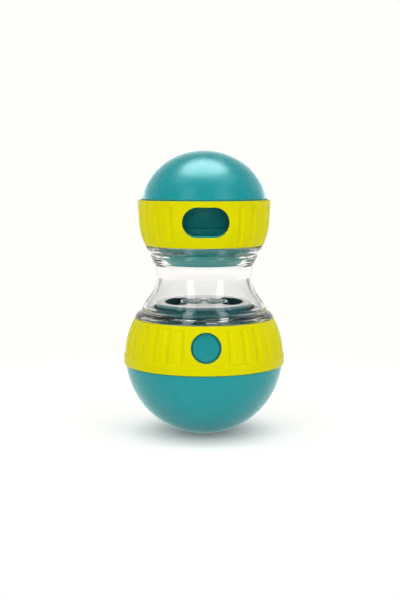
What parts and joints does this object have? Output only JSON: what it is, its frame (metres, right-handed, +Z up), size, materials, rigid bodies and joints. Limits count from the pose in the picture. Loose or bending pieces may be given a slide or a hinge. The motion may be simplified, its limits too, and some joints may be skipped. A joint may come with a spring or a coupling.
{
  "type": "food dispensing toy",
  "caption": "Hourglass tumbler treat dispenser: weighted ball base, clear screw-on chamber, small top ball, and turning fluted rings that open and close the treat outlets.",
  "frame": {"origin": "centre of the foot flat under the base ball", "axes": "+Z up along the turning axis; -Y is the front, with the window and the round hole; +X is the side of the base cup's outlet port"},
  "size_m": [0.0816, 0.0816, 0.144],
  "materials": {
    "teal_shell": "satin moulded ABS",
    "teal_inner": "satin moulded ABS",
    "yellow_ring": "satin moulded ABS",
    "clear_body": "clear polished polycarbonate",
    "seal": "matt silicone",
    "iron_weight": "cast, zinc-coated",
    "weight_cover": "moulded",
    "screw": "zinc-plated"
  },
  "bodies": {
    "base": {"base_shell": "teal_shell", "counterweight": "iron_weight", "weight_cover": "weight_cover", "weight_screw": "screw", "lower_cup": "teal_inner", "base_screws": "screw", "threaded_collar": "teal_inner", "collar_screws": "screw", "slotted_plate": "teal_inner"},
    "lower_shutter": {"lower_ring": "yellow_ring"},
    "lower_gasket": {"lower_seal": "seal"},
    "chamber": {"clear_chamber": "clear_body"},
    "upper_gasket": {"upper_seal": "seal"},
    "top_ball": {"upper_cup": "teal_inner", "top_dome": "teal_shell"},
    "upper_shutter": {"upper_ring": "yellow_ring"}
  },
  "joints": [
    {"name": "lower_ring_turn", "type": "hinge", "parent": "base", "child": "lower_shutter", "pos_m": [0, 0, 0.04895], "axis": [0, 0, 1], "range_deg": [0, 90]},
    {"name": "chamber_unscrew", "type": "hinge", "parent": "base", "child": "lower_gasket", "pos_m": [0, 0, 0.05865], "axis": [0, 0, 1], "range_deg": [0, 540]},
    {"name": "chamber_rise", "type": "slide", "parent": "lower_gasket", "child": "chamber", "axis": [0, 0, 1], "range_m": [0, 0.0091]},
    {"name": "top_unscrew", "type": "hinge", "parent": "chamber", "child": "upper_gasket", "pos_m": [0, 0, 0.09565], "axis": [0, 0, 1], "range_deg": [0, 540]},
    {"name": "top_rise", "type": "slide", "parent": "upper_gasket", "child": "top_ball", "axis": [0, 0, 1], "range_m": [0, 0.0091]},
    {"name": "upper_ring_turn", "type": "hinge", "parent": "top_ball", "child": "upper_shutter", "pos_m": [0, 0, 0.1085], "axis": [0, 0, 1], "range_deg": [0, 90]}
  ],
  "couplings": [
    {"joint": "chamber_rise", "follows": "chamber_unscrew", "m_per_rad": 0.00095493},
    {"joint": "top_rise", "follows": "top_unscrew", "m_per_rad": 0.00095493}
  ]
}
